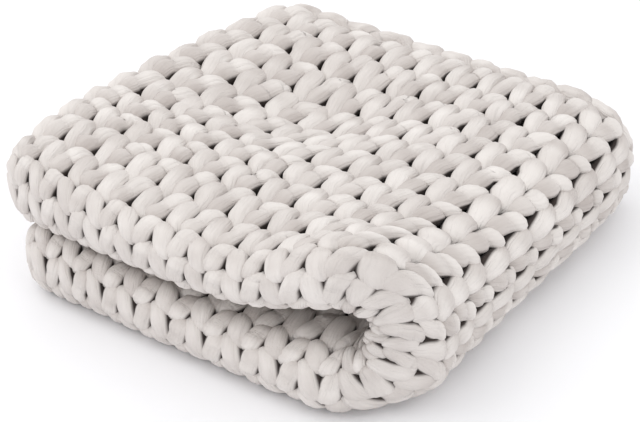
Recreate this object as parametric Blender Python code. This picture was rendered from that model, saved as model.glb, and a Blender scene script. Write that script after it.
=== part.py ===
"""Chunky hand-knitted weighted blanket, folded in four and lying on a floor.

One sheet of stocking stitch, knitted from a soft fabric tube as thick as a thumb. The first fold
is the round edge along the front, which makes a pad of two layers. The second fold takes the pad
round the right-hand end and back underneath. Metres, +Z up, origin on the floor under the middle.
"""
import bmesh
import bpy
import numpy as np

# The knitted sheet, laid out flat: columns of stitches are wales, rows are courses
WALE = 0.0524             # width of one column of stitches
COURSE = 0.0569           # height of one row of stitches
FIRST_WALE = -0.5         # left selvedge of the upper pad, counted in wales
LAST_WALE = 23.5          # left selvedge of the lower pad
FIRST_COURSE = -12.0      # cast-on edge, between the pads, counted in courses
LAST_COURSE = 11.75       # bind-off edge, on the outside
PAD = 0.0788              # two layers of the sheet, where it isn't pressed down
LAYER_GAP = 0.0040        # between the two layers of a pad
SKIN_GAP = 0.0014         # the knit stays this far inside its half of the pad

# The folds
FOLD_MIDDLE = -0.15       # course that runs along the very front
FOLD_COURSES = 1.6        # courses from the middle of the front fold to the flat of the pad
SIDE_START = 9.13         # wale at which the side fold leaves the upper pad
SIDE_WALES = 5.2          # wales that the side fold takes
SIDE_X = 0.0390           # where the side fold starts, from the frame of the folds
SIDE_RADIUS = 0.0212      # free space at the heart of the side fold, half its height
SIDE_SQUARENESS = 2.7     # 2 is a half circle, more is boxier
WEDGE_POWER = 1.9         # how fast the upper pad comes down on the lower one

# How the folded stack has settled, in the frame of the folds
STACK_MIDDLE_X = -0.242
HEIGHT_SLOPE = -0.87      # share of the height lost for each metre to the right
DISH = 0.24               # share of the height lost in the hollow on top
DISH_AT = (-0.242, 0.387)
DISH_SIZE = (0.112, 0.111)
CORNER_SWELL = 0.33       # share of the height gained at the near right corner
CORNER_AT = (0.051, 0.0)
CORNER_SIZE = (0.102, 0.153)
SKEW = 0.048              # the wales lean to the right towards the back
BOW = 0.0225              # and bow by this much at each end
BOW_MIDDLE_Y = 0.306
FAN = 0.08                # and the courses fan out to the right
BUNCH = 0.0100            # courses bunched together over this length
BUNCH_AT_X = -0.327
BUNCH_WIDTH = 0.204
BUNCH_LENGTH = 0.408
BUNCH_PEAK = 1.3          # highest value of the bunching wave, which is divided by it
LEFT_TUCK = 0.0530        # the near left corner is drawn in
LEFT_TUCK_REACH = (0.112, 0.0714)
BACK_TUCK = 0.0600        # and so is the far right corner
BACK_TUCK_REACH = 0.097
BACK_TUCK_FROM_X = -0.306
BACK_TUCK_WIDTH = 0.459
NEAR_TUCK = 0.0850        # and the side fold at the near right corner
NEAR_TUCK_FROM_X = 0.019
NEAR_TUCK_REACH = (0.122, 0.130)

# The stitches: two legs in each wale, leaning apart, each a rounded ridge
LEG_DEPTH = 0.0075        # from the crown of a leg down to the creases along it
KNUCKLE_DEPTH = 0.0050    # and down to the crease between two legs of one wale
LEG_ROWS = (0.0, 0.35, 0.7)   # crease, foot and head of a leg, in shares of a course
LEG_LEAN = 0.55           # courses that a leg's foot lies below its head
STITCHED_FROM = -4        # first course whose legs are raised: the ones before it lie between layers
PLAIN_COURSES = 2.0       # length of a patch where no legs are raised
PLAIN_WALES = 1.0         # and its width, on the wrong side
EDGE_ROUND = 0.45         # share of the thickness left at the sheet's edges

BLANKET_COLOUR = (0.74, 0.70, 0.66, 1.0)
BLANKET_ROUGHNESS = 0.85


def bell(value, middle, width):
    """exp(-((value - middle) / width)^2)"""
    return np.exp(-((value - middle) / width) ** 2)


def ramp(value):
    """Smooth step from 0 to 1."""
    value = np.clip(value, 0.0, 1.0)
    return value * value * (3.0 - 2.0 * value)


def front_fold(course, lift):
    """Course and height over the layer's middle -> distance back from the front, height in the pad."""
    turn = np.clip((course - FOLD_MIDDLE) / FOLD_COURSES, -1.0, 1.0) * np.pi / 2
    radius = PAD / 4 + lift
    beyond = np.maximum(np.abs(course - FOLD_MIDDLE) - FOLD_COURSES, 0.0) * COURSE
    return PAD / 2 - radius * np.cos(turn) + beyond, PAD / 2 + radius * np.sin(turn)


def side_fold(wale, up):
    """Wale and height in the pad -> x and height over the floor, round the side fold."""
    beyond = wale - SIDE_START
    turn = np.clip(beyond / SIDE_WALES, 0.0, 1.0) * np.pi
    on_top = np.maximum(-beyond, 0.0) * WALE
    below = np.maximum(beyond - SIDE_WALES, 0.0) * WALE
    power = SIDE_SQUARENESS
    square = (np.abs(np.sin(turn)) ** power + np.abs(np.cos(turn)) ** power) ** (-1 / power)
    reach = (SIDE_RADIUS + up) * square
    x = SIDE_X + reach * np.sin(turn) - on_top - below
    width = (SIDE_START - FIRST_WALE) * WALE
    wedge = 2 * SIDE_RADIUS * np.clip(1.0 - on_top / width, 0.0, 1.0) ** WEDGE_POWER
    z_round = PAD + SIDE_RADIUS + reach * np.cos(turn)
    z_flat = np.where(beyond < 0, PAD + wedge + up, PAD - up)
    return x, np.where((beyond < 0) | (beyond > SIDE_WALES), z_flat, z_round)


def settle(x, y, z):
    """The weight of the stack: heights change by a share, and edges and corners are drawn in."""
    share = 1.0 + HEIGHT_SLOPE * (x - STACK_MIDDLE_X)
    share -= DISH * bell(x, DISH_AT[0], DISH_SIZE[0]) * bell(y, DISH_AT[1], DISH_SIZE[1])
    share += CORNER_SWELL * bell(x, CORNER_AT[0], CORNER_SIZE[0]) * bell(y, CORNER_AT[1], CORNER_SIZE[1])
    left = SIDE_X - (SIDE_START - FIRST_WALE) * WALE
    back = PAD / 2 + (LAST_COURSE - FOLD_MIDDLE - FOLD_COURSES) * COURSE
    across = SKEW * (y - BOW_MIDDLE_Y) + BOW * ((y - BOW_MIDDLE_Y) / BOW_MIDDLE_Y) ** 2
    across += LEFT_TUCK * np.exp(-np.maximum(x - left, 0.0) / LEFT_TUCK_REACH[0] - y / LEFT_TUCK_REACH[1])
    tucked = ramp((x - BACK_TUCK_FROM_X) / BACK_TUCK_WIDTH)
    across -= BACK_TUCK * np.exp(-np.maximum(back - y, 0.0) / BACK_TUCK_REACH) * tucked
    wave = 2 * np.pi * np.clip(y / BUNCH_LENGTH, 0.0, 1.0)
    along = BUNCH * bell(x, BUNCH_AT_X, BUNCH_WIDTH) * np.sin(wave) * (1.0 - np.cos(wave)) / BUNCH_PEAK
    along += NEAR_TUCK * np.exp(-y / NEAR_TUCK_REACH[1]) * ramp((x - NEAR_TUCK_FROM_X) / NEAR_TUCK_REACH[0])
    along += FAN * (x - STACK_MIDDLE_X) * (y - BOW_MIDDLE_Y)
    return x + across, y + along, z * share


def folded(wale, course, lift):
    """Where a point of the flat sheet lies in the folded blanket."""
    back, up = front_fold(course, lift)
    x, z = side_fold(wale, up)
    return np.stack(settle(x, back, z), axis=-1)


def right_side_lines():
    """Wales and courses of the right side's mesh lines: creases and crowns of the legs by turns."""
    wales = np.arange(FIRST_WALE, LAST_WALE + 0.125, 0.25)
    plain = np.arange(FIRST_COURSE, STITCHED_FROM - PLAIN_COURSES / 2, PLAIN_COURSES)
    stitched = (np.arange(STITCHED_FROM, LAST_COURSE)[:, None] + np.array(LEG_ROWS)).ravel()
    stitched = stitched[stitched < LAST_COURSE - LEG_LEAN / 2]
    return wales, np.concatenate([plain, stitched, [LAST_COURSE]])


def wrong_side_lines():
    """The same for the wrong side, which lies hidden: larger patches, alike on both layers."""
    wales = np.linspace(FIRST_WALE, LAST_WALE, 1 + round((LAST_WALE - FIRST_WALE) / PLAIN_WALES))
    inner_span, outer_span = FOLD_MIDDLE - FIRST_COURSE, LAST_COURSE - FOLD_MIDDLE
    from_fold = np.arange(FOLD_COURSES, inner_span - PLAIN_COURSES / 2, PLAIN_COURSES)
    steps = np.concatenate([[-inner_span], -from_fold[::-1], [0.0], from_fold, [outer_span]])
    return wales, FOLD_MIDDLE + steps


def edge_share(wales, courses):
    """1 inside the sheet and EDGE_ROUND on its four edges."""
    share = np.ones((len(wales), len(courses)))
    share[[0, -1], :] = EDGE_ROUND
    share[:, [0, -1]] = EDGE_ROUND
    return share


def right_side():
    """Points of the knit's right side, with a raised leg at each crown."""
    wales, courses = right_side_lines()
    wale, course = np.meshgrid(wales, courses, indexing="ij")
    stitched = course > STITCHED_FROM
    on_leg = np.abs(wale % 0.5 - 0.25) < 0.01
    between_legs = course % 1.0 < LEG_ROWS[1] / 2
    depth = np.where(on_leg, np.where(between_legs, KNUCKLE_DEPTH, 0.0), LEG_DEPTH) * stitched
    lift = (PAD / 4 - SKIN_GAP - depth) * edge_share(wales, courses)
    on_floor = (wale >= SIDE_START + SIDE_WALES) & (course >= FOLD_MIDDLE + FOLD_COURSES)
    lift[:-1, :-1][on_floor[:-1, :-1]] = PAD / 4
    from_middle = np.abs((wale + 0.5) % 1.0 - 0.5)
    lean = LEG_LEAN * (2 * from_middle - 0.5)
    lean = np.where(stitched & (course < LAST_COURSE) & ~on_floor, lean, 0.0)
    return folded(wale, course + lean, lift)


def wrong_side():
    """Points of the knit's wrong side, half a layer gap from the middle of the pad."""
    wales, courses = wrong_side_lines()
    wale, course = np.meshgrid(wales, courses, indexing="ij")
    drop = -(PAD / 4 - LAYER_GAP / 2) * edge_share(wales, courses)
    return folded(wale, course, drop)


def rim(outer, outer_at, inner, inner_at):
    """Triangles between two edges of the sheet with unlike steps, walked together from end to end."""
    faces = []
    i = j = 0
    while i < len(outer) - 1 or j < len(inner) - 1:
        outer_next = outer_at[i + 1] if i < len(outer) - 1 else np.inf
        inner_next = inner_at[j + 1] if j < len(inner) - 1 else np.inf
        if outer_next <= inner_next:
            faces.append((outer[i], outer[i + 1], inner[j]))
            i += 1
        else:
            faces.append((outer[i], inner[j + 1], inner[j]))
            j += 1
    return faces


def patches(index):
    """Quads between neighbouring lines of a grid of vertex numbers."""
    corners = (index[:-1, :-1], index[1:, :-1], index[1:, 1:], index[:-1, 1:])
    return [tuple(face) for face in np.stack(corners, axis=-1).reshape(-1, 4).tolist()]


def knitted_sheet(name):
    """One closed body: right side, wrong side and the rim round all four edges."""
    outer = right_side()
    inner = wrong_side()
    points = np.concatenate([outer.reshape(-1, 3), inner.reshape(-1, 3)])
    middle = (points.min(axis=0) + points.max(axis=0)) / 2
    points[:, :2] -= middle[:2]
    points[:, 2] = np.maximum(points[:, 2], 0.0)
    outer_index = np.arange(outer[..., 0].size).reshape(outer.shape[:2])
    inner_index = np.arange(inner[..., 0].size).reshape(inner.shape[:2]) + outer_index.size
    outer_wales, outer_courses = right_side_lines()
    inner_wales, inner_courses = wrong_side_lines()
    faces = patches(outer_index) + patches(inner_index[:, ::-1])
    for side in (0, -1):
        faces += rim(outer_index[side], outer_courses, inner_index[side], inner_courses)
        faces += rim(outer_index[:, side], outer_wales, inner_index[:, side], inner_wales)
    mesh = bpy.data.meshes.new(name)
    mesh.from_pydata([tuple(point) for point in points.tolist()], [], faces)
    sheet = bmesh.new()
    sheet.from_mesh(mesh)
    bmesh.ops.triangulate(sheet, faces=sheet.faces[:], quad_method="SHORT_EDGE")
    bmesh.ops.recalc_face_normals(sheet, faces=sheet.faces[:])
    sheet.to_mesh(mesh)
    sheet.free()
    mesh.shade_smooth()
    return bpy.data.objects.new(name, mesh)


def tube_cloth():
    """Matt jersey tube, a light warm greige."""
    material = bpy.data.materials.new("tube_cloth")
    material.use_nodes = True
    shader = material.node_tree.nodes["Principled BSDF"]
    shader.inputs["Base Color"].default_value = BLANKET_COLOUR
    shader.inputs["Roughness"].default_value = BLANKET_ROUGHNESS
    shader.inputs["Metallic"].default_value = 0.0
    return material


for old in list(bpy.data.objects):
    bpy.data.objects.remove(old, do_unlink=True)
blanket = knitted_sheet("blanket")
blanket.data.materials.append(tube_cloth())
bpy.context.collection.objects.link(blanket)
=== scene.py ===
import math

import bpy
import numpy as np
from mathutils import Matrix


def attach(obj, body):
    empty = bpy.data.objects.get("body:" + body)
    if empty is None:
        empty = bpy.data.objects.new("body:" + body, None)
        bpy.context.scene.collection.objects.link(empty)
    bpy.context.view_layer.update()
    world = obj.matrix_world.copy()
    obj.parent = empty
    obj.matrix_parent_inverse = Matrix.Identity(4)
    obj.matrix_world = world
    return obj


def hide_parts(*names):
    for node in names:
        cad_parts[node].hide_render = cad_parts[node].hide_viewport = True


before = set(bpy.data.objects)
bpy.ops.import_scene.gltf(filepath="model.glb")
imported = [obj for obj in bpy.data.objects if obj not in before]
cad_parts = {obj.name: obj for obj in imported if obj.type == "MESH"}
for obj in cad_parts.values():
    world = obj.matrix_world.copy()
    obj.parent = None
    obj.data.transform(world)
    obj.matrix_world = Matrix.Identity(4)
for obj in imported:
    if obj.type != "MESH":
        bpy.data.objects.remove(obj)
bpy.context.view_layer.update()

# ---------------------------------------------------------------------------
# The folded sheet. One knitted sheet is folded twice: round along the front,
# then round the right-hand end and back underneath. It has settled under its
# own weight, so the top is dished and the corners are drawn in.
# ---------------------------------------------------------------------------

WALE, COURSE = 0.0524, 0.0569               # from one column of loops to the next, and one row to the next
FIRST_WALE, LAST_WALE = -0.5, 23.5          # the two selvedges, in columns
FIRST_COURSE, LAST_COURSE = -12.0, 11.75    # the cast-on and bind-off edges, in rows
PAD = 0.0788                                # thickness of the sheet folded once

FOLD_MIDDLE, FOLD_COURSES = -0.15, 1.6      # the row in the middle of the front fold, and rows each side
SIDE_START, SIDE_WALES = 9.13, 5.2          # the column where the side fold starts, and columns in it
SIDE_X, SIDE_RADIUS = 0.0390, 0.0212        # where it starts in x, and the inside radius of its turn
SIDE_SQUARENESS = 2.7                       # 2 is a round turn, more is boxier
WEDGE_POWER = 1.9                           # how fast the open wedge closes away from the side fold

STACK_MIDDLE_X = -0.242
HEIGHT_SLOPE = -0.87
DISH, DISH_AT, DISH_SIZE = 0.24, (-0.242, 0.387), (0.112, 0.111)
CORNER_SWELL, CORNER_AT, CORNER_SIZE = 0.33, (0.051, 0.0), (0.102, 0.153)
SKEW, BOW, BOW_MIDDLE_Y, FAN = 0.048, 0.0225, 0.306, 0.08
BUNCH, BUNCH_AT_X, BUNCH_WIDTH, BUNCH_LENGTH, BUNCH_PEAK = 0.0100, -0.327, 0.204, 0.408, 1.3
LEFT_TUCK, LEFT_TUCK_REACH = 0.0530, (0.112, 0.0714)
BACK_TUCK, BACK_TUCK_REACH, BACK_TUCK_FROM_X, BACK_TUCK_WIDTH = 0.0600, 0.097, -0.306, 0.459
NEAR_TUCK, NEAR_TUCK_FROM_X, NEAR_TUCK_REACH = 0.0850, 0.019, (0.122, 0.130)
FRAME_SHIFT = (0.16196, -0.31552)           # from the frame of the folds to the middle of the footprint


def bell(value, middle, width):
    """A bell curve: e to the minus square of how many widths the value lies from the middle."""
    return np.exp(-((value - middle) / width) ** 2)


def ramp(value):
    """A smooth step from 0 to 1: three times the square of the value, less twice its cube."""
    value = np.clip(value, 0.0, 1.0)
    return value * value * (3.0 - 2.0 * value)


def front_fold(course, lift):
    """A half turn about the front fold, its radius a quarter of the pad plus the lift, then straight back."""
    turn = np.clip((course - FOLD_MIDDLE) / FOLD_COURSES, -1.0, 1.0) * np.pi / 2
    radius = PAD / 4 + lift
    beyond = np.maximum(np.abs(course - FOLD_MIDDLE) - FOLD_COURSES, 0.0) * COURSE
    return PAD / 2 - radius * np.cos(turn) + beyond, PAD / 2 + radius * np.sin(turn)


def side_fold(wale, up):
    """Straight along the upper pad, a boxy half turn, and straight back below.

    The turn is a superellipse: sine and cosine are each raised to the squareness and added, and the
    reach is the radius plus the height, over that sum's root. A wedge opens towards the turn.
    """
    beyond = wale - SIDE_START
    turn = np.clip(beyond / SIDE_WALES, 0.0, 1.0) * np.pi
    on_top = np.maximum(-beyond, 0.0) * WALE
    below = np.maximum(beyond - SIDE_WALES, 0.0) * WALE
    power = SIDE_SQUARENESS
    square = (np.abs(np.sin(turn)) ** power + np.abs(np.cos(turn)) ** power) ** (-1 / power)
    reach = (SIDE_RADIUS + up) * square
    x = SIDE_X + reach * np.sin(turn) - on_top - below
    width = (SIDE_START - FIRST_WALE) * WALE
    wedge = 2 * SIDE_RADIUS * np.clip(1.0 - on_top / width, 0.0, 1.0) ** WEDGE_POWER
    z_round = PAD + SIDE_RADIUS + reach * np.cos(turn)
    z_flat = np.where(beyond < 0, PAD + wedge + up, PAD - up)
    return x, np.where((beyond < 0) | (beyond > SIDE_WALES), z_flat, z_round)


def settle(x, y, z):
    """Heights times a share that slopes, dips in a bell at the dish and swells in a bell at the corner.

    Places shift by a skew, a bow, a fan and a wave, and by exponentials that fade from the left, back
    and near corners.
    """
    share = 1.0 + HEIGHT_SLOPE * (x - STACK_MIDDLE_X)
    share -= DISH * bell(x, DISH_AT[0], DISH_SIZE[0]) * bell(y, DISH_AT[1], DISH_SIZE[1])
    share += CORNER_SWELL * bell(x, CORNER_AT[0], CORNER_SIZE[0]) * bell(y, CORNER_AT[1], CORNER_SIZE[1])
    left = SIDE_X - (SIDE_START - FIRST_WALE) * WALE
    back = PAD / 2 + (LAST_COURSE - FOLD_MIDDLE - FOLD_COURSES) * COURSE
    across = SKEW * (y - BOW_MIDDLE_Y) + BOW * ((y - BOW_MIDDLE_Y) / BOW_MIDDLE_Y) ** 2
    across += LEFT_TUCK * np.exp(-np.maximum(x - left, 0.0) / LEFT_TUCK_REACH[0] - y / LEFT_TUCK_REACH[1])
    tucked = ramp((x - BACK_TUCK_FROM_X) / BACK_TUCK_WIDTH)
    across -= BACK_TUCK * np.exp(-np.maximum(back - y, 0.0) / BACK_TUCK_REACH) * tucked
    wave = 2 * np.pi * np.clip(y / BUNCH_LENGTH, 0.0, 1.0)
    along = BUNCH * bell(x, BUNCH_AT_X, BUNCH_WIDTH) * np.sin(wave) * (1.0 - np.cos(wave)) / BUNCH_PEAK
    along += NEAR_TUCK * np.exp(-y / NEAR_TUCK_REACH[1]) * ramp((x - NEAR_TUCK_FROM_X) / NEAR_TUCK_REACH[0])
    along += FAN * (x - STACK_MIDDLE_X) * (y - BOW_MIDDLE_Y)
    return x + across, y + along, z * share


def folded(wale, course, lift):
    """Where a point of the flat sheet lies in the folded blanket, on the part's own frame."""
    back, up = front_fold(course, lift)
    x, z = side_fold(wale, up)
    x, y, z = settle(x, back, z)
    return np.stack([x + FRAME_SHIFT[0], y + FRAME_SHIFT[1], np.maximum(z, 0.0)], axis=-1)


# ---------------------------------------------------------------------------
# The tube yarn, knitted in stocking stitch. Each course is one run of the
# tube: a loop in every wale, its two legs on the right side of the cloth and
# its head and feet behind the legs of the next course.
# ---------------------------------------------------------------------------

# One loop, from the middle of one sinker to the next. Its columns are: wales from the loop's middle,
# courses from its foot, lift from the layer's middle, half width and half thickness in metres, the painted
# light there (a painted lit half and a painted shaded half on each leg), and how much it puckers where the
# tube turns
WALE_AT, COURSE_AT, LIFT, WIDTH, THICKNESS, PAINTED_LIGHT, PUCKER = range(7)
LOOP = np.array([
    (-0.50, -0.08, -0.0115, 0.0085, 0.0085, 0.3, 0.0),      # ladder to the wale on the left
    (-0.20, -0.10, -0.0110, 0.0082, 0.0088, 0.3, 0.2),
    (-0.03, 0.01, -0.0050, 0.0088, 0.0106, 0.6, 0.5),       # left foot
    (-0.09, 0.21, 0.0018, 0.0114, 0.0124, 0.8, 0.2),
    (-0.17, 0.45, 0.0060, 0.0140, 0.0136, 0.85, 0.0),       # left leg
    (-0.22, 0.70, 0.0070, 0.0150, 0.0138, 0.7, 0.0),
    (-0.265, 0.93, 0.0054, 0.0150, 0.0136, 0.35, 0.3),
    (-0.30, 1.12, 0.0018, 0.0136, 0.0126, 0.25, 0.7),
    (-0.33, 1.25, -0.0050, 0.0106, 0.0106, 0.25, 1.0),      # left turn
    (-0.29, 1.36, -0.0102, 0.0084, 0.0090, 0.3, 0.6),
    (-0.17, 1.42, -0.0120, 0.0086, 0.0082, 0.3, 0.0),
    (0.00, 1.45, -0.0122, 0.0086, 0.0080, 0.3, 0.0),        # head, behind the legs of the next course
    (0.17, 1.42, -0.0120, 0.0086, 0.0082, 0.3, 0.2),
    (0.31, 1.36, -0.0100, 0.0088, 0.0090, 0.4, 0.6),
    (0.37, 1.28, -0.0040, 0.0108, 0.0108, 0.7, 0.9),        # right turn
    (0.385, 1.17, 0.0026, 0.0130, 0.0126, 0.9, 0.6),
    (0.35, 1.05, 0.0060, 0.0142, 0.0136, 0.95, 0.2),        # right leg
    (0.315, 0.92, 0.0072, 0.0144, 0.0138, 0.9, 0.1),
    (0.265, 0.75, 0.0064, 0.0138, 0.0132, 0.5, 0.6),        # its crease
    (0.215, 0.56, 0.0062, 0.0148, 0.0138, 0.25, 0.1),
    (0.17, 0.34, 0.0026, 0.0132, 0.0130, 0.25, 0.2),
    (0.10, 0.12, -0.0045, 0.0092, 0.0110, 0.3, 0.5),        # right foot
    (0.12, -0.04, -0.0098, 0.0078, 0.0094, 0.3, 0.2),
    (0.26, -0.10, -0.0112, 0.0082, 0.0086, 0.3, 0.2),       # ladder to the wale on the right
])
IN_LEG = np.isin(np.arange(len(LOOP)), (3, 4, 5, 6, 7, 15, 16, 17, 18, 19, 20))
WALES = 24                              # loops in a course
UNEVEN = np.array((0.018, 0.034, 0.0006, 0.0005, 0.0005, 0.14, 0.12))    # how far a loop's points stray
MOST_UNEVEN = 2 * UNEVEN
# At a selvedge the tube climbs to the next course behind the cloth
LEFT_END = np.array([(-0.58, 0.95, -0.0100, 0.0090, 0.0085, 0.3, 0.0),
                     (-0.66, 0.55, -0.0060, 0.0100, 0.0095, 0.4, 0.2),
                     (-0.66, 0.15, -0.0085, 0.0100, 0.0090, 0.4, 0.2)])
RIGHT_END = np.array([(23.50, -0.08, -0.0105, 0.0090, 0.0085, 0.3, 0.2),
                      (23.66, 0.20, -0.0070, 0.0100, 0.0095, 0.4, 0.2),
                      (23.62, 0.70, -0.0080, 0.0095, 0.0090, 0.4, 0.0)])
yarn_draw = np.random.default_rng(11)


def smooth_run(points, steps):
    """Catmull-Rom curve through the rows of points, steps places on each stretch, ends held."""
    held = np.concatenate([points[:1], points, points[-1:]])
    share = (np.arange(steps) / steps)[None, :, None]
    a, b, c, d = (held[i:len(held) - 3 + i, None, :] for i in range(4))
    run = 0.5 * (2 * b + (c - a) * share + (2 * a - 5 * b + 4 * c - d) * share ** 2
                 + (3 * b - 3 * c + d - a) * share ** 3)
    return np.concatenate([run.reshape(-1, points.shape[1]), points[-1:]])


LEG_MIDDLE = 0.62                                  # courses from the foot of a loop
CROWD_AT, CROWD_SPAN = (11.7, -0.9), (2.4, 1.5)    # wale and course where the two folds squeeze the loops
CROWD_SWELL, CROWD_SINK, CROWD_SHORT = 0.10, 0.012, 0.16    # plump, every other one deep, and short
PINCHED, PINCH_WIDTH, PINCH_LIFT = 18, 0.0009, 0.0008       # the creased row of LOOP, and what a pinch takes
PINCH_USUAL, PINCH_SPREAD, PINCH_MOST = 0.7, 0.5, 1.4
PINCH_FROM = 0                                     # courses up to this are pressed smooth in the front fold
BROADER, STRETCHED, CALMED = 0.13, 0.18, 0.5       # there legs are broader and longer, and stray less
FLATTENED, PRESSED = 0.75, (0.0064, 0.0132, 0.62)  # and come near to one lift, half thickness and painted light


def course_points(course):
    """The loops of one course side by side, each a copy of LOOP changed by bells about the two folds.

    Every point then strays by a normal draw of its own and one that its loop shares, held to a limit.
    """
    loops = np.repeat(LOOP[None], WALES, axis=0)
    wale = np.arange(WALES)[:, None]
    crowd = bell(wale, CROWD_AT[0], CROWD_SPAN[0]) * bell(course, CROWD_AT[1], CROWD_SPAN[1])
    loops[:, :, COURSE_AT] -= (loops[:, :, COURSE_AT] - LEG_MIDDLE) * CROWD_SHORT * crowd * IN_LEG
    loops[:, :, LIFT] -= crowd * CROWD_SINK * ((wale + course) % 2)
    loops[:, :, WIDTH] *= 1.0 + CROWD_SWELL * crowd
    pinch = np.clip(yarn_draw.normal(PINCH_USUAL, PINCH_SPREAD, WALES), 0.0, PINCH_MOST)
    pinch *= course > PINCH_FROM
    loops[:, PINCHED, LIFT] -= PINCH_LIFT * pinch
    loops[:, PINCHED, (WIDTH, THICKNESS)] -= PINCH_WIDTH * pinch[:, None]
    loops[:, :, COURSE_AT] += course
    in_fold = bell(loops[:, :, COURSE_AT], FOLD_MIDDLE, FOLD_COURSES)
    pressed = in_fold * IN_LEG
    loops[:, :, COURSE_AT] += (LOOP[:, COURSE_AT] - LEG_MIDDLE) * STRETCHED * pressed
    loops[:, :, WALE_AT] += wale
    loops[:, :, WIDTH] *= 1.0 + BROADER * pressed
    alike = (LIFT, THICKNESS, PAINTED_LIGHT)
    loops[:, :, alike] += (np.array(PRESSED) - loops[:, :, alike]) * FLATTENED * pressed[:, :, None]
    stray = yarn_draw.normal(size=loops.shape) * UNEVEN
    stray += yarn_draw.normal(size=(WALES, 1, len(UNEVEN))) * UNEVEN
    stray = np.clip(stray, -MOST_UNEVEN, MOST_UNEVEN) * (1.0 - CALMED * in_fold[:, :, None])
    points = (loops + stray).reshape(-1, len(UNEVEN))
    here = (0, course, 0, 0, 0, 0, 0)
    return np.concatenate([LEFT_END + here, points, RIGHT_END + here])


LINK = LOOP[2:-2]                       # a loop without its ladders
LINK_BACK = 0.7                         # wales from a link's foot to its middle
CHAIN_RISE, CHAIN_LIFT = 0.018, -0.004


def chain_points(course, outward):
    """A chain along an edge of the sheet, each link drawn through the one before.

    A link is a loop on its side: its courses run along the edge and its lift faces outward. Its height
    in the sheet is CHAIN_LIFT less CHAIN_RISE for each wale that a point lies from its middle.
    """
    links = np.repeat(LINK[None], WALES, axis=0)
    points = links.copy()
    points[:, :, WALE_AT] = links[:, :, COURSE_AT] + np.arange(WALES)[:, None] - LINK_BACK
    points[:, :, COURSE_AT] = course + links[:, :, LIFT] / COURSE * outward
    points[:, :, LIFT] = CHAIN_LIFT - links[:, :, WALE_AT] * CHAIN_RISE
    stray = yarn_draw.normal(size=links.shape) * UNEVEN
    return (points + np.clip(stray, -MOST_UNEVEN, MOST_UNEVEN)).reshape(-1, len(UNEVEN))


FACE_ABOVE, MIDDLE_ABOVE = 0.003, 0.0012    # how far the tube may pass a face, and keeps off the pad's middle
SQUEEZE_EASE = 0.003


def squeezed(lift):
    """Lift held between the pad's middle and its face, eased at each by a hyperbolic tangent."""
    top, low = PAD / 4 + FACE_ABOVE, -PAD / 4 + MIDDLE_ABOVE
    over = np.maximum(lift - (top - SQUEEZE_EASE), 0.0)
    lift = np.where(over > 0, top - SQUEEZE_EASE + SQUEEZE_EASE * np.tanh(over / SQUEEZE_EASE), lift)
    under = np.maximum(low + SQUEEZE_EASE - lift, 0.0)
    return np.where(under > 0, low + SQUEEZE_EASE - SQUEEZE_EASE * np.tanh(under / SQUEEZE_EASE), lift)


CURL_START, CURL_RADIUS = 0.60, 0.022    # wales from a selvedge, and metres


def curled(wale, lift):
    """Both selvedges roll back: past CURL_START wales from an edge the sheet bends round a circle."""
    for edge, inward in ((FIRST_WALE, 1.0), (LAST_WALE, -1.0)):
        past = np.maximum(CURL_START - (wale - edge) * inward, 0.0) * WALE / CURL_RADIUS
        reach = CURL_RADIUS + lift
        rolled = edge + inward * (CURL_START - reach * np.sin(past) / WALE)
        wale = np.where(past > 0, rolled, wale)
        lift = np.where(past > 0, reach * np.cos(past) - CURL_RADIUS, lift)
    return wale, lift


ROUNDNESS = 0.84              # 1 is an ellipse, less is boxier, as the legs press on each other
SEAM_SHADE = (0.36, 0.20)     # how much further up its sides the tube gets painted seam shade in the front and side folds


def tube(points, steps, sides):
    """A closed tube along points: superelliptical rings square to the run in the flat sheet, then folded.

    A ring's corners are cosine and sine, each to the power ROUNDNESS with its sign kept, times the half
    width and half thickness. Each ring also gets its painted light, its pucker, and how far painted seam
    shade is held off its sides: 1 at an edge of the sheet, 0 inside it, and less in the two folds.
    """
    run = smooth_run(points, steps)
    centre = run[:, (WALE_AT, COURSE_AT, LIFT)] * (WALE, COURSE, 1.0)
    ahead = np.gradient(centre, axis=0)
    ahead /= np.linalg.norm(ahead, axis=1, keepdims=True)
    across = np.cross(ahead, (0.0, 0.0, 1.0))
    across /= np.linalg.norm(across, axis=1, keepdims=True)
    out = np.cross(across, ahead)
    angle = np.arange(sides) * 2 * np.pi / sides
    wide = np.sign(np.cos(angle)) * np.abs(np.cos(angle)) ** ROUNDNESS
    thick = np.sign(np.sin(angle)) * np.abs(np.sin(angle)) ** ROUNDNESS
    ring = (wide[None, :, None] * across[:, None] * run[:, WIDTH, None, None]
            + thick[None, :, None] * out[:, None] * run[:, THICKNESS, None, None])
    flat = centre[:, None] + ring
    wale, lift = curled(flat[..., 0] / WALE, flat[..., 2])
    body = folded(wale, flat[..., 1] / COURSE, squeezed(lift))
    tips = np.stack([body[0].mean(axis=0), body[-1].mean(axis=0)])
    length = np.concatenate([[0.0], np.cumsum(np.linalg.norm(np.diff(centre, axis=0), axis=1))])
    wales, courses = run[:, WALE_AT], run[:, COURSE_AT]
    # How far the painted seam shade is held off the sides: off at the sheet's edges, and reaching higher up
    # the sides in the two folds
    inside = np.minimum(np.minimum(wales - FIRST_WALE, LAST_WALE - wales) / CURL_START,
                        np.minimum(courses - FIRST_COURSE, LAST_COURSE - courses))
    bent = np.maximum(bell(courses, FOLD_MIDDLE, FOLD_COURSES) * SEAM_SHADE[0],
                      bell(wales, SIDE_START + SIDE_WALES / 2, SIDE_WALES / 2) * SEAM_SHADE[1])
    shade_held_off = 1.0 - ramp(inside) - bent
    looks = np.clip(run[:, (PAINTED_LIGHT, PUCKER)], 0.0, 1.0)
    return body, tips, length, np.concatenate([looks, shade_held_off[:, None]], axis=1)


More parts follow.
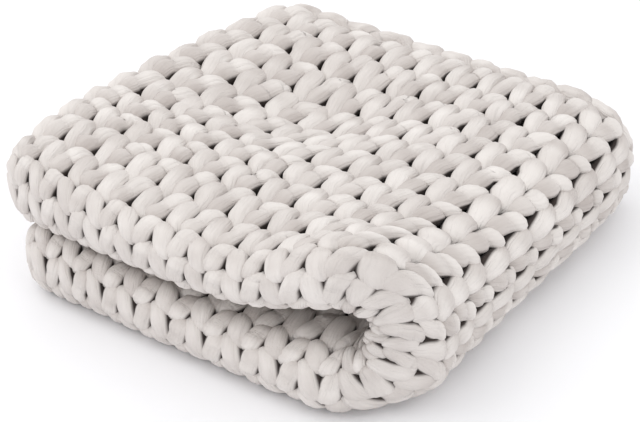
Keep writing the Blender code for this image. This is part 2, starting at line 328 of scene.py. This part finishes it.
def tube_faces(rings, sides, start):
    """Vertex numbers of a tube's quads, and of the two fans of triangles that close its ends."""
    ring, side = np.meshgrid(np.arange(rings - 1), np.arange(sides), indexing="ij")
    after = (side + 1) % sides
    quads = np.stack([ring * sides + side, ring * sides + after,
                      (ring + 1) * sides + after, (ring + 1) * sides + side], axis=-1)
    first = np.arange(sides)
    last = first + (rings - 1) * sides
    tip = rings * sides
    fans = np.stack([np.stack([np.roll(first, -1), first, np.full(sides, tip)], axis=-1),
                     np.stack([last, np.roll(last, -1), np.full(sides, tip + 1)], axis=-1)])
    return quads.reshape(-1, 4) + start, fans.reshape(-1, 3) + start


def yarn_piece(name, runs, steps, sides):
    """One mesh of several tubes, with a UV map: u round the tube, v along it in metres."""
    places, quads, fans, quad_uv, fan_uv, marks = [], [], [], [], [], []
    start = 0
    for points in runs:
        body, tips, length, looks = tube(points, steps, sides)
        tube_quads, tube_fans = tube_faces(len(body), sides, start)
        places += [body.reshape(-1, 3), tips]
        marks += [np.repeat(looks, sides, axis=0), looks[[0, -1]]]
        quads.append(tube_quads)
        fans.append(tube_fans)
        ring, side = np.meshgrid(np.arange(len(body) - 1), np.arange(sides), indexing="ij")
        u0, u1 = side / sides, (side + 1) / sides
        v0, v1 = length[ring], length[ring + 1]
        quad_uv.append(np.stack([u0, v0, u1, v0, u1, v1, u0, v1], axis=-1).reshape(-1, 2))
        fan_uv.append(np.zeros((tube_fans.size, 2)))
        start += body.shape[0] * sides + 2
    places = np.concatenate(places)
    quads, fans = np.concatenate(quads), np.concatenate(fans)
    mesh = bpy.data.meshes.new(name)
    mesh.vertices.add(len(places))
    mesh.vertices.foreach_set("co", places.astype(np.float32).ravel())
    corners = np.concatenate([quads.ravel(), fans.ravel()])
    mesh.loops.add(len(corners))
    mesh.loops.foreach_set("vertex_index", corners.astype(np.int32))
    starts = np.concatenate([np.arange(len(quads)) * 4, quads.size + np.arange(len(fans)) * 3])
    mesh.polygons.add(len(starts))
    mesh.polygons.foreach_set("loop_start", starts.astype(np.int32))
    mesh.polygons.foreach_set("use_smooth", np.ones(len(starts), dtype=bool))
    mesh.update(calc_edges=True)
    mesh.uv_layers.new(name="yarn")
    yarn_map = np.concatenate(quad_uv + fan_uv).astype(np.float32)
    mesh.uv_layers["yarn"].data.foreach_set("uv", yarn_map.ravel())
    marks = np.concatenate(marks).astype(np.float32)
    for column, mark in enumerate(("painted_light", "pucker", "shade_held_off")):
        mesh.attributes.new(mark, "FLOAT", "POINT").data.foreach_set("value", marks[:, column].ravel())
    piece = bpy.data.objects.new(name, mesh)
    bpy.context.collection.objects.link(piece)
    return piece


# ---------------------------------------------------------------------------
# The cloth of the tube. It is a pale, matt stretch jersey, puckered across the
# tube where it turns. Its colour holds painted light on one half of each leg, painted
# shade on the other half and in its fine folds, and painted shade where legs press on each other.
# ---------------------------------------------------------------------------


class Value:
    """A node's output in Python sums: each operator adds a Math node to the same material."""

    def __init__(self, socket):
        self.socket = socket

    def node(self, kind, settings=(), inputs=(), output=0):
        """Add a node: its settings first, then the value or link of each named or numbered socket."""
        made = self.socket.id_data.nodes.new(kind)
        for name, setting in dict(settings).items():
            setattr(made, name, setting)
        for name, given in dict(inputs).items():
            if isinstance(given, Value):
                self.socket.id_data.links.new(given.socket, made.inputs[name])
            else:
                made.inputs[name].default_value = given
        return Value(made.outputs[output])

    def math(self, operation, first, second=0.0):
        """One Math node on two values."""
        return self.node("ShaderNodeMath", {"operation": operation}, {0: first, 1: second})

    def __add__(self, other):
        return self.math("ADD", self, other)

    def __sub__(self, other):
        return self.math("SUBTRACT", self, other)

    def __rsub__(self, other):
        return self.math("SUBTRACT", other, self)

    def __mul__(self, other):
        return self.math("MULTIPLY", self, other)

    __radd__ = __add__
    __rmul__ = __mul__


cloth = bpy.data.materials.new("tube_cloth")
cloth.use_nodes = True
shader = cloth.node_tree.nodes["Principled BSDF"]
shader.inputs["Roughness"].default_value = 0.85
shader.inputs["Specular IOR Level"].default_value = 0.25
shader.inputs["Sheen Weight"].default_value = 0.12
shader.inputs["Sheen Roughness"].default_value = 0.5

uv_map = cloth.node_tree.nodes.new("ShaderNodeUVMap")
uv_map.uv_map = "yarn"
yarn_uv = Value(uv_map.outputs["UV"])
turn = yarn_uv.node("ShaderNodeSeparateXYZ", (), {0: yarn_uv}, "X") * (2 * math.pi)
along = yarn_uv.node("ShaderNodeSeparateXYZ", (), {0: yarn_uv}, "Y")
painted_light = yarn_uv.node("ShaderNodeAttribute", {"attribute_name": "painted_light"}, (), "Fac")
pucker = yarn_uv.node("ShaderNodeAttribute", {"attribute_name": "pucker"}, (), "Fac")
shade_held_off = yarn_uv.node("ShaderNodeAttribute", {"attribute_name": "shade_held_off"}, (), "Fac")
cosine = yarn_uv.math("COSINE", turn)
sine = yarn_uv.math("SINE", turn)


def yarn_noise(around, lengthwise, detail):
    """Noise on the tube: so many patches across its radius, and so many along a metre of it."""
    place = yarn_uv.node("ShaderNodeCombineXYZ", (),
                         {0: cosine * around, 1: sine * around, 2: along * lengthwise})
    return yarn_uv.node("ShaderNodeTexNoise", (),
                        {"Vector": place, "Scale": 1.0, "Detail": detail, "Roughness": 0.6})


def mixed(low, high, share):
    """A colour that goes from low to high; 0, 6 and 7 are a Mix node's share and its two colours."""
    return yarn_uv.node("ShaderNodeMix", {"data_type": "RGBA"}, {6: low, 7: high, 0: share}, 2)


# the fine folds are relief, and in the cloth's colour they also give painted shade in their valleys
folds = yarn_noise(around=2.4, lengthwise=16.0, detail=2.0)
fibres = yarn_noise(around=11.0, lengthwise=45.0, detail=3.0)
puckers = yarn_noise(around=1.4, lengthwise=170.0, detail=2.0) * pucker
patches = yarn_noise(around=0.7, lengthwise=22.0, detail=1.0)

# The cloth's colour: the loop's painted light gives each leg a painted lit half and a painted shaded half,
# the fine folds add painted shade in their valleys, and the patches are random tone
PAINTED_LIGHT_SHARE, PATCH_SHARE, FOLD_SHADE_SHARE, DARKER = 0.55, 0.6, 0.3, 0.25
PAINTED_SHADE_END, UNSHADED_START = 0.16, 0.46       # heights up the side of the tube, where 1 is its top: the painted seam shade is full below the first and gone above the second
# painted shade in the seams and pits between legs, laid on the lower sides of each tube
PAINTED_SEAM_SHADE = (0.05, 0.038, 0.034, 1.0)
# the cloth in painted shade at its darker tone, and in painted light at its lighter tone
SHADED_AND_DARK_CLOTH, LIT_AND_LIGHT_CLOTH = (0.49, 0.44, 0.415, 1.0), (0.84, 0.80, 0.77, 1.0)
tone_and_painted_light = painted_light * PAINTED_LIGHT_SHARE + patches * PATCH_SHARE + folds * FOLD_SHADE_SHARE - DARKER
# How far the painted seam shade reaches: up the tube's sides by the sine of the way round it, held off at the
# sheet's edges and reaching higher in the folds
outward = yarn_uv.node("ShaderNodeMapRange", {"interpolation_type": "SMOOTHSTEP"},
                       {"Value": sine + shade_held_off, "From Min": PAINTED_SHADE_END, "From Max": UNSHADED_START})
colour = mixed(PAINTED_SEAM_SHADE, mixed(SHADED_AND_DARK_CLOTH, LIT_AND_LIGHT_CLOTH, tone_and_painted_light), outward)

FOLD_RELIEF, FIBRE_RELIEF, PUCKER_RELIEF = 0.0045, 0.0010, 0.0045    # metres
relief = folds * FOLD_RELIEF + fibres * FIBRE_RELIEF + puckers * PUCKER_RELIEF
normal = yarn_uv.node("ShaderNodeBump", (), {"Strength": 0.8, "Distance": 1.0, "Height": relief})
cloth.node_tree.links.new(colour.socket, shader.inputs["Base Color"])
cloth.node_tree.links.new(normal.socket, shader.inputs["Normal"])

# ---------------------------------------------------------------------------
# The knitted courses, from the far edge of the inner layer, round the front
# fold and back over the outer layer, with the cast-on and bind-off chains
# along those two edges. Courses that no one sees are plainer.
# ---------------------------------------------------------------------------

# name, first and last course, steps on each stretch of a loop, sides of the tube
COURSES = (("hidden_courses", -11, -5, 1, 8),
           ("inner_courses", -4, -3, 3, 14),
           ("front_courses", -2, 0, 3, 14),
           ("edge_courses", 1, 3, 3, 14),
           ("near_courses", 4, 6, 3, 14),
           ("far_courses", 7, 8, 3, 14),
           ("last_courses", 9, 10, 3, 14))
CAST_ON_IN, BIND_OFF_IN = 0.2, 0.3      # courses in from the edge of the sheet
knitting = [(name, [course_points(course) for course in range(first, last + 1)], steps, sides)
            for name, first, last, steps, sides in COURSES]
knitting.append(("cast_on", [chain_points(FIRST_COURSE + CAST_ON_IN, -1.0)], 2, 8))
knitting.append(("bind_off", [chain_points(LAST_COURSE - BIND_OFF_IN, 1.0)], 2, 16))
for name, points, steps, sides in knitting:
    piece = yarn_piece(name, points, steps, sides)
    piece.data.materials.append(cloth)
    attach(piece, "root")
    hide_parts("blanket")

# ---------------------------------------------------------------------------
# The floor. It is one wide sheet of pale matt paper, laid flat, and the
# blanket lies on it.
# ---------------------------------------------------------------------------

FLOOR_REACH = 6.0
floor_mesh = bpy.data.meshes.new("floor")
floor_mesh.from_pydata([(-FLOOR_REACH, -FLOOR_REACH, 0), (FLOOR_REACH, -FLOOR_REACH, 0),
                        (FLOOR_REACH, FLOOR_REACH, 0), (-FLOOR_REACH, FLOOR_REACH, 0)], [], [(0, 1, 2, 3)])
floor = bpy.data.objects.new("floor", floor_mesh)
bpy.context.collection.objects.link(floor)
paper = bpy.data.materials.new("paper")
paper.use_nodes = True
paper_shader = paper.node_tree.nodes["Principled BSDF"]
paper_shader.inputs["Base Color"].default_value = (0.93, 0.93, 0.95, 1.0)
paper_shader.inputs["Roughness"].default_value = 0.9
floor_mesh.materials.append(paper)

# ---------------------------------------------------------------------------
# The light. An even white studio lies all round, and one large soft lamp
# stands high at the near left and faces the middle of the blanket.
# ---------------------------------------------------------------------------

bpy.context.scene.view_settings.view_transform = "Standard"
world = bpy.data.worlds.new("studio")
bpy.context.scene.world = world
world.use_nodes = True
world.node_tree.nodes["Background"].inputs["Color"].default_value = (1.0, 1.0, 1.0, 1.0)
world.node_tree.nodes["Background"].inputs["Strength"].default_value = 1.09

LAMP_PLACE, LAMP_TARGET = (-1.2, -0.8, 2.2), (0.0, 0.0, 0.1)
lamp_light = bpy.data.lights.new("key", "AREA")
lamp_light.size = 1.8
lamp_light.energy = 10.0
lamp = bpy.data.objects.new("key", lamp_light)
lamp.location = LAMP_PLACE
aim = np.array(LAMP_TARGET) - np.array(LAMP_PLACE)
lamp.rotation_euler = (math.atan2(math.hypot(aim[0], aim[1]), -aim[2]), 0.0,
                       math.atan2(aim[1], aim[0]) - math.pi / 2)
bpy.context.collection.objects.link(lamp)

# ---------------------------------------------------------------------------
# The camera. It stands off the near right corner and looks down on the top
# and the two folds.
# ---------------------------------------------------------------------------

CAMERA_PLACE = (0.71089 + FRAME_SHIFT[0], -1.00188 + FRAME_SHIFT[1], 0.95367)
CAMERA_DOWN, CAMERA_TURN = 0.52152, 0.59090
IMAGE_WIDTH, FOCAL_LENGTH = 640, 1430.9    # both in points of the image
SENSOR_WIDTH = 36.0
camera_data = bpy.data.cameras.new("camera")
camera_data.sensor_width = SENSOR_WIDTH
camera_data.lens = FOCAL_LENGTH / IMAGE_WIDTH * SENSOR_WIDTH
camera = bpy.data.objects.new("camera", camera_data)
camera.location = CAMERA_PLACE
camera.rotation_euler = (math.pi / 2 - CAMERA_DOWN, 0.0, CAMERA_TURN)
bpy.context.collection.objects.link(camera)
bpy.context.scene.camera = camera
